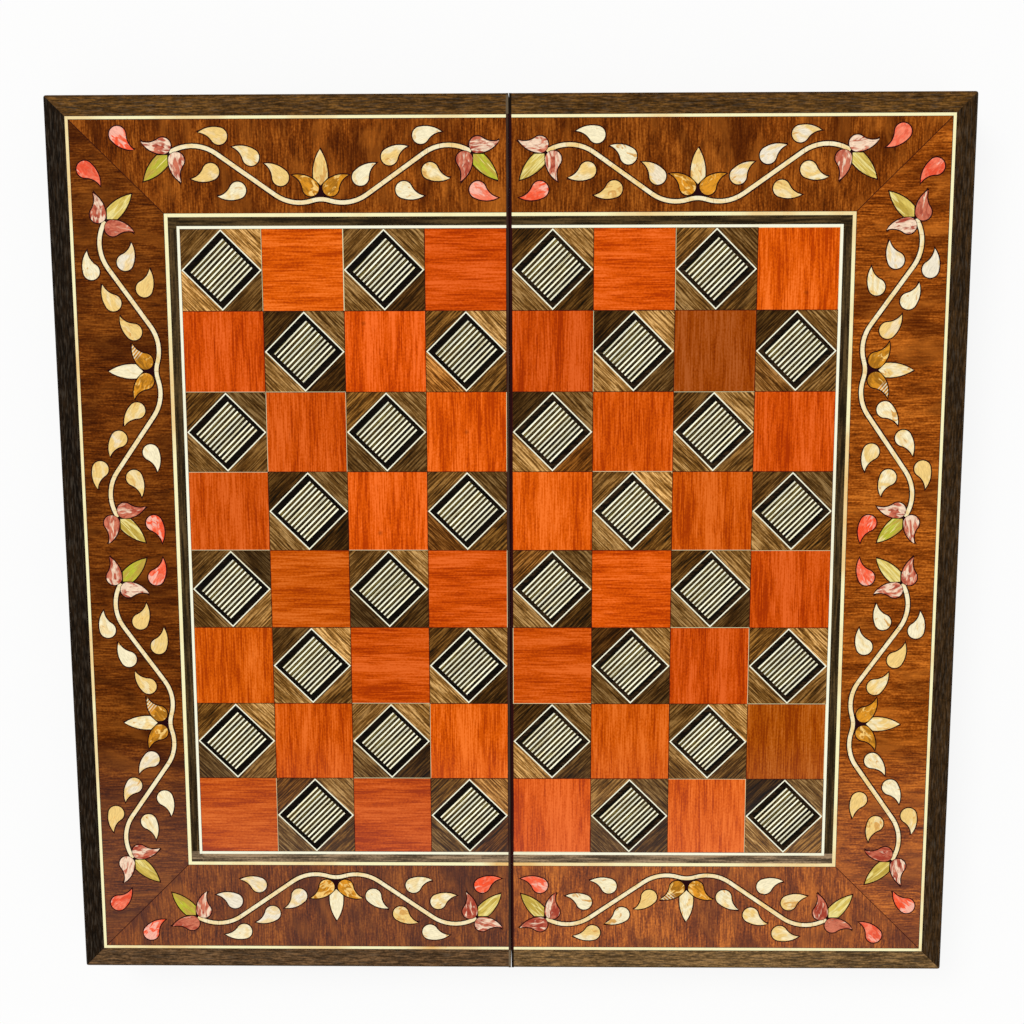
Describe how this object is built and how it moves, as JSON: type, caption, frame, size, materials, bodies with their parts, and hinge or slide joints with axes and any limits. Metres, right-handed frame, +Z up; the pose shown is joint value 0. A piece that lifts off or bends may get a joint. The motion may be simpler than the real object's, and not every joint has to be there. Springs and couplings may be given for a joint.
{
  "type": "folding chess and backgammon board",
  "caption": "Folding wooden games case, open flat, with an inlaid chess field and vine borders outside and a backgammon field inside.",
  "frame": {"origin": "under the middle of the open board, on the surface it lies on", "axes": "+Z up out of the chess face, +Y along the fold to the far end, +X across the fold to the right half"},
  "size_m": [0.506, 0.497, 0.04],
  "materials": {
    "walnut_frame": "satin lacquer",
    "walnut_ends": "satin lacquer",
    "plywood": "raw",
    "mahogany": "gloss lacquer",
    "cream_wood": "gloss lacquer",
    "black_wood": "gloss lacquer",
    "white_bone": "polished bone, lacquered",
    "orange_wood": "gloss lacquer",
    "walnut_inlay": "gloss lacquer",
    "olive_wood": "gloss lacquer",
    "cream_shell": "polished shell, lacquered",
    "red_shell": "polished shell, lacquered",
    "pink_shell": "polished shell, lacquered",
    "green_shell": "polished shell, lacquered",
    "amber_shell": "polished shell, lacquered",
    "felt": "felt",
    "brass": "satin"
  },
  "bodies": {
    "left_half": {"long_wall_left": "walnut_frame", "far_wall_left": "walnut_ends", "near_wall_left": "walnut_ends", "hinge_wall_left": "walnut_frame", "panel_core_left": "plywood", "border_veneer_left": "mahogany", "cream_stringing_left": "cream_wood", "dark_banding_left": "black_wood", "white_lines_left": "white_bone", "orange_squares_left": "orange_wood", "walnut_corners_left": "walnut_inlay", "diamond_bands_left": "black_wood", "light_strips_left": "cream_wood", "dark_strips_left": "olive_wood", "vine_stems_left": "cream_wood", "cream_leaves_left": "cream_shell", "red_drops_left": "red_shell", "pink_petals_left": "pink_shell", "green_leaves_left": "green_shell", "amber_petals_left": "amber_shell", "centre_petals_left": "cream_shell", "playing_field_left": "mahogany", "light_points_left": "cream_wood", "dark_points_left": "black_wood", "felt_pads_left": "felt", "hinge_leaves_left": "brass", "hinge_screws_left": "brass", "hinge_pins": "brass", "latch_pivots": "brass"},
    "right_half": {"long_wall_right": "walnut_frame", "far_wall_right": "walnut_ends", "near_wall_right": "walnut_ends", "hinge_wall_right": "walnut_frame", "panel_core_right": "plywood", "border_veneer_right": "mahogany", "cream_stringing_right": "cream_wood", "dark_banding_right": "black_wood", "white_lines_right": "white_bone", "orange_squares_right": "orange_wood", "walnut_corners_right": "walnut_inlay", "diamond_bands_right": "black_wood", "light_strips_right": "cream_wood", "dark_strips_right": "olive_wood", "vine_stems_right": "cream_wood", "cream_leaves_right": "cream_shell", "red_drops_right": "red_shell", "pink_petals_right": "pink_shell", "green_leaves_right": "green_shell", "amber_petals_right": "amber_shell", "centre_petals_right": "cream_shell", "playing_field_right": "mahogany", "light_points_right": "cream_wood", "dark_points_right": "black_wood", "felt_pads_right": "felt", "hinge_leaves_right": "brass", "hinge_screws_right": "brass", "latch_catches": "brass"},
    "far_hook": {"latch_hook_far": "brass"},
    "near_hook": {"latch_hook_near": "brass"}
  },
  "joints": [
    {"name": "fold", "type": "hinge", "parent": "left_half", "child": "right_half", "pos_m": [0, 0, 0.002], "axis": [0, 1, 0], "range_deg": [0, 179]},
    {"name": "far_hook_turn", "type": "hinge", "parent": "left_half", "child": "far_hook", "pos_m": [-0.2508, 0.12, 0.01], "axis": [-1, 0, 0], "range_deg": [0, 90]},
    {"name": "near_hook_turn", "type": "hinge", "parent": "left_half", "child": "near_hook", "pos_m": [-0.2508, -0.12, 0.01], "axis": [1, 0, 0], "range_deg": [0, 90]}
  ]
}
